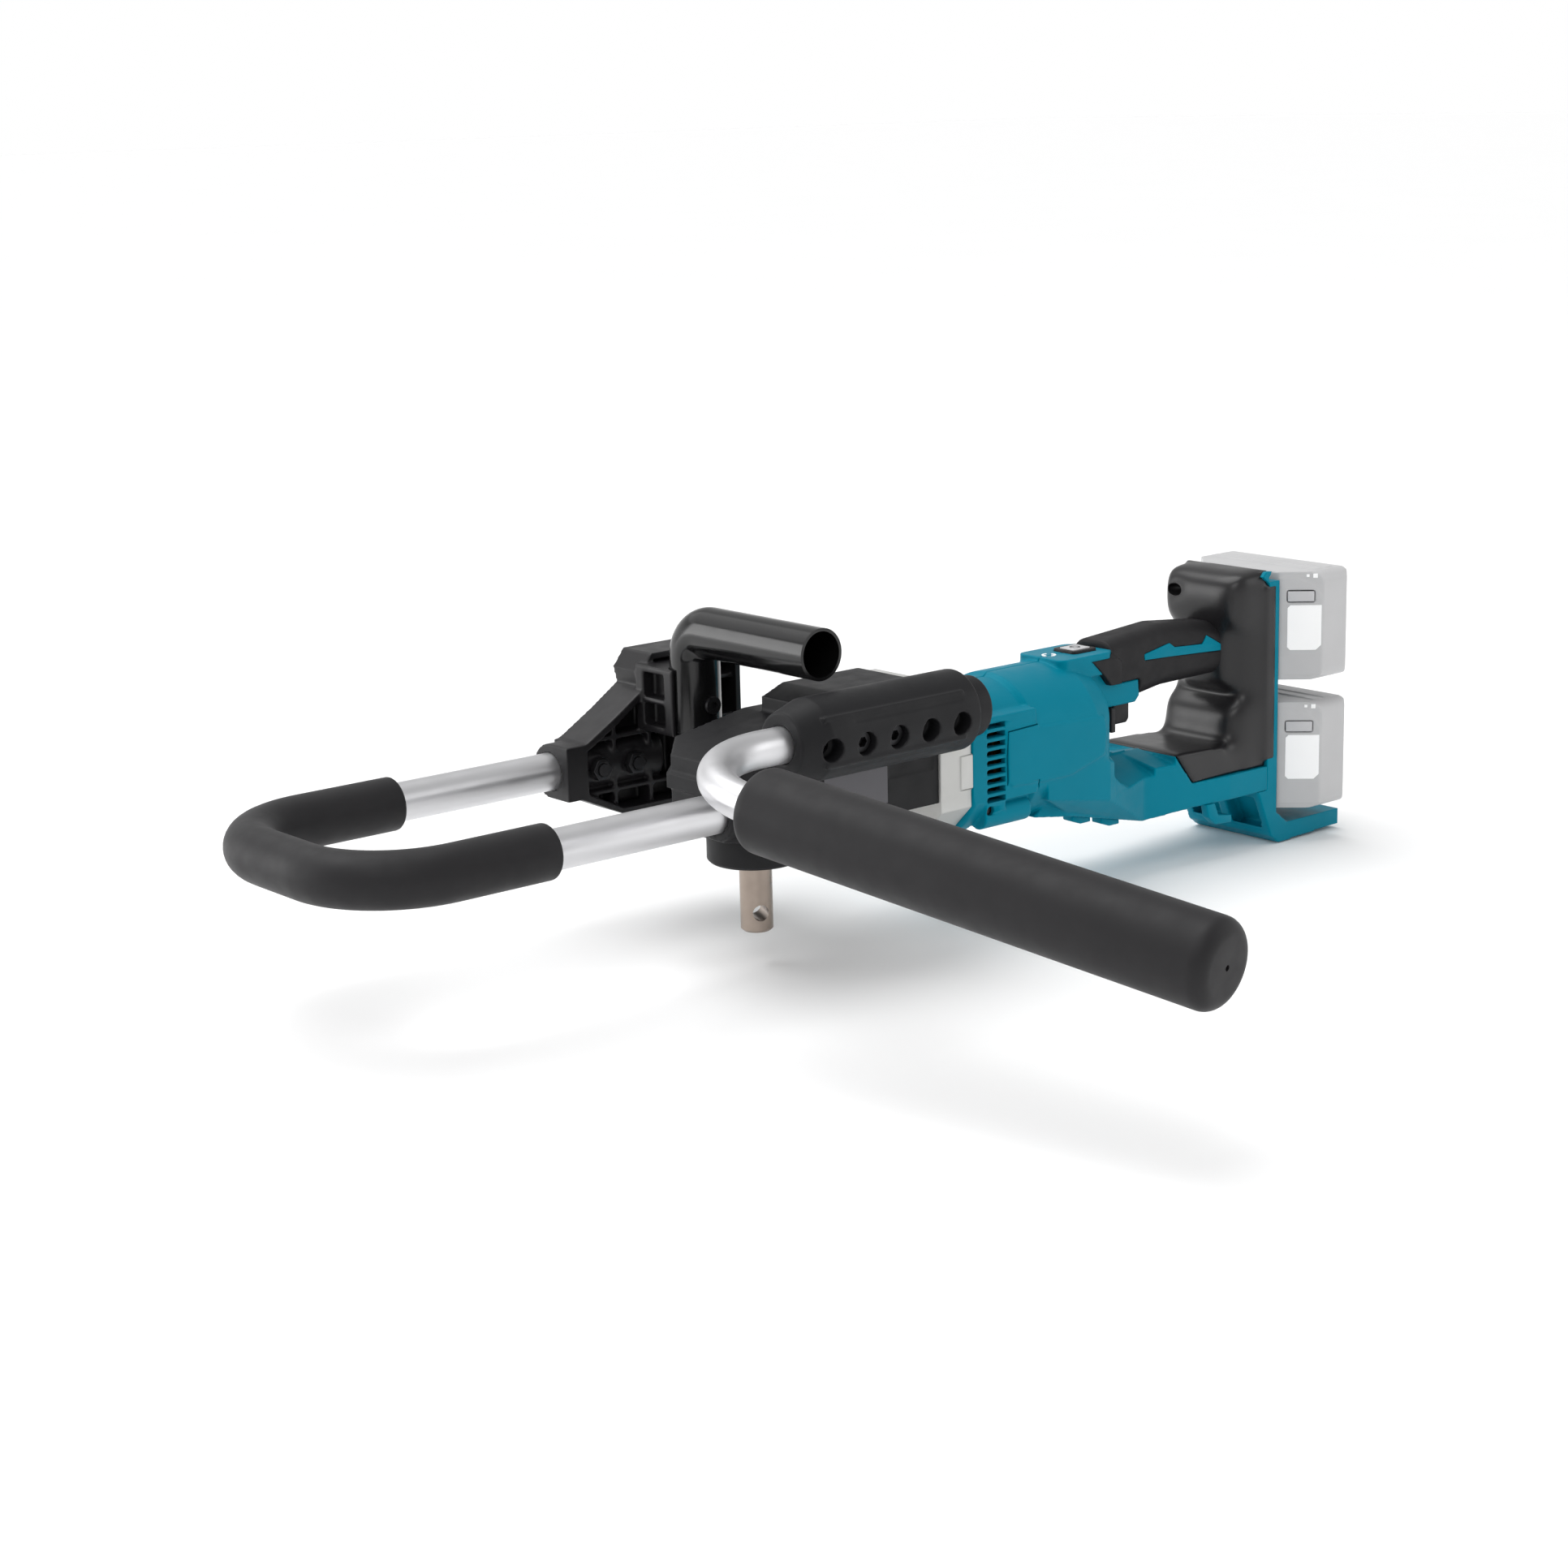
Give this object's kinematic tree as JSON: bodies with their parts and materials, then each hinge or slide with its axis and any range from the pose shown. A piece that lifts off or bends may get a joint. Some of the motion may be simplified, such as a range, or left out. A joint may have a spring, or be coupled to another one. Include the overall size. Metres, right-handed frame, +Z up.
{
  "type": "earth auger",
  "caption": "Cordless earth auger head: vertical output spindle, gear head, motor with D-handle and trigger, slide-on battery packs, side handle, loop handle and reaction arm.",
  "frame": {"origin": "spindle axis at the spindle's shoulder, where an auger seats", "axes": "+X to the battery packs, -Y to the side grip, +Z up, away from the spindle's tip"},
  "size_m": [0.8035, 0.5952, 0.2065],
  "materials": {
    "coated_metal": "satin black coating on cast aluminium",
    "bare_casting": "bare die casting",
    "bright_tube": "brushed bright tube",
    "steel": "turned steel",
    "dark_steel": "blackened steel fasteners",
    "teal_plastic": "moulded housing",
    "black_plastic": "moulded, fine grain",
    "rubber": "soft overmould",
    "foam": "closed-cell foam sleeve",
    "gloss_black_tube": "gloss black paint",
    "copper": "enamelled windings",
    "pack_plastic": "pale grey case",
    "white_label": "blank label",
    "grey_plastic": "button caps"
  },
  "bodies": {
    "machine": {"gear_case": "coated_metal", "rear_casting": "bare_casting", "nose_collar": "coated_metal", "oil_seal": "rubber", "spindle_bearings": "steel", "pinion_bearings": "steel", "bearing_spacer": "steel", "rotor_bearings": "steel", "stator": "copper", "housing_left": "teal_plastic", "housing_right": "teal_plastic", "housing_screws": "dark_steel", "case_screws": "dark_steel", "control_panel": "black_plastic", "handle_grip": "rubber", "handle_inserts": "teal_plastic", "trigger_spring": "steel", "switch_module": "black_plastic", "controller": "black_plastic", "battery_shell": "black_plastic", "battery_mount": "teal_plastic", "wrench_holder": "teal_plastic", "belly_hooks": "black_plastic", "upper_terminal": "black_plastic", "lower_terminal": "black_plastic", "handle_holder": "coated_metal", "holder_bolts": "dark_steel", "side_tube": "bright_tube", "side_tube_plug": "black_plastic", "grip_core": "bright_tube", "side_grip": "foam", "loop_tube": "bright_tube", "loop_foam": "foam", "loop_screw": "dark_steel", "reaction_bracket": "black_plastic", "bracket_bolts": "dark_steel", "bracket_nuts": "dark_steel", "arm_bolts": "dark_steel", "reaction_tube": "gloss_black_tube", "reaction_bolt": "dark_steel"},
    "spindle": {"spindle": "steel", "bevel_gear": "steel"},
    "pinion_shaft": {"bevel_pinion": "steel", "spur_gear": "steel"},
    "rotor": {"rotor_shaft": "steel", "rotor_core": "steel", "cooling_fan": "black_plastic"},
    "trigger": {"trigger": "black_plastic"},
    "reversing_lever": {"reversing_lever": "black_plastic"},
    "power_button": {"power_button": "grey_plastic"},
    "upper_pack": {"upper_pack": "pack_plastic", "upper_label": "white_label"},
    "lower_pack": {"lower_pack": "pack_plastic", "lower_label": "white_label"},
    "upper_release": {"upper_release": "grey_plastic"},
    "lower_release": {"lower_release": "grey_plastic"}
  },
  "joints": [
    {"name": "spindle_spin", "type": "hinge", "parent": "machine", "child": "spindle", "pos_m": [0, 0, 0], "axis": [0, 0, 1], "continuous": true},
    {"name": "pinion_spin", "type": "hinge", "parent": "machine", "child": "pinion_shaft", "pos_m": [0, 0, 0.059], "axis": [1, 0, 0], "continuous": true},
    {"name": "rotor_spin", "type": "hinge", "parent": "machine", "child": "rotor", "pos_m": [0, 0, 0.038], "axis": [1, 0, 0], "continuous": true},
    {"name": "trigger_pull", "type": "slide", "parent": "machine", "child": "trigger", "axis": [0, 0, 1], "range_m": [0, 0.006], "stiffness_N_per_m": 600, "springref_m": -0.004, "deforming": ["trigger_spring"]},
    {"name": "lever_turn", "type": "hinge", "parent": "machine", "child": "reversing_lever", "pos_m": [0.292, 0, 0.0393], "axis": [0, 0, 1], "range_deg": [-8, 8]},
    {"name": "button_press", "type": "slide", "parent": "machine", "child": "power_button", "axis": [0, 0, -1], "range_m": [0, 0.0008], "stiffness_N_per_m": 800, "springref_m": -0.001},
    {"name": "upper_pack_slide", "type": "slide", "parent": "machine", "child": "upper_pack", "axis": [0, -1, 0], "range_m": [0, 0.115]},
    {"name": "lower_pack_slide", "type": "slide", "parent": "machine", "child": "lower_pack", "axis": [0, -1, 0], "range_m": [0, 0.115]},
    {"name": "upper_release_press", "type": "slide", "parent": "upper_pack", "child": "upper_release", "axis": [0.7071, 0.7071, 0], "range_m": [0, 0.004], "stiffness_N_per_m": 500, "springref_m": -0.002},
    {"name": "lower_release_press", "type": "slide", "parent": "lower_pack", "child": "lower_release", "axis": [0.7071, 0.7071, 0], "range_m": [0, 0.004], "stiffness_N_per_m": 500, "springref_m": -0.002}
  ],
  "couplings": [
    {"joint": "pinion_spin", "follows": "spindle_spin", "ratio": 3.2},
    {"joint": "rotor_spin", "follows": "spindle_spin", "ratio": -8}
  ]
}
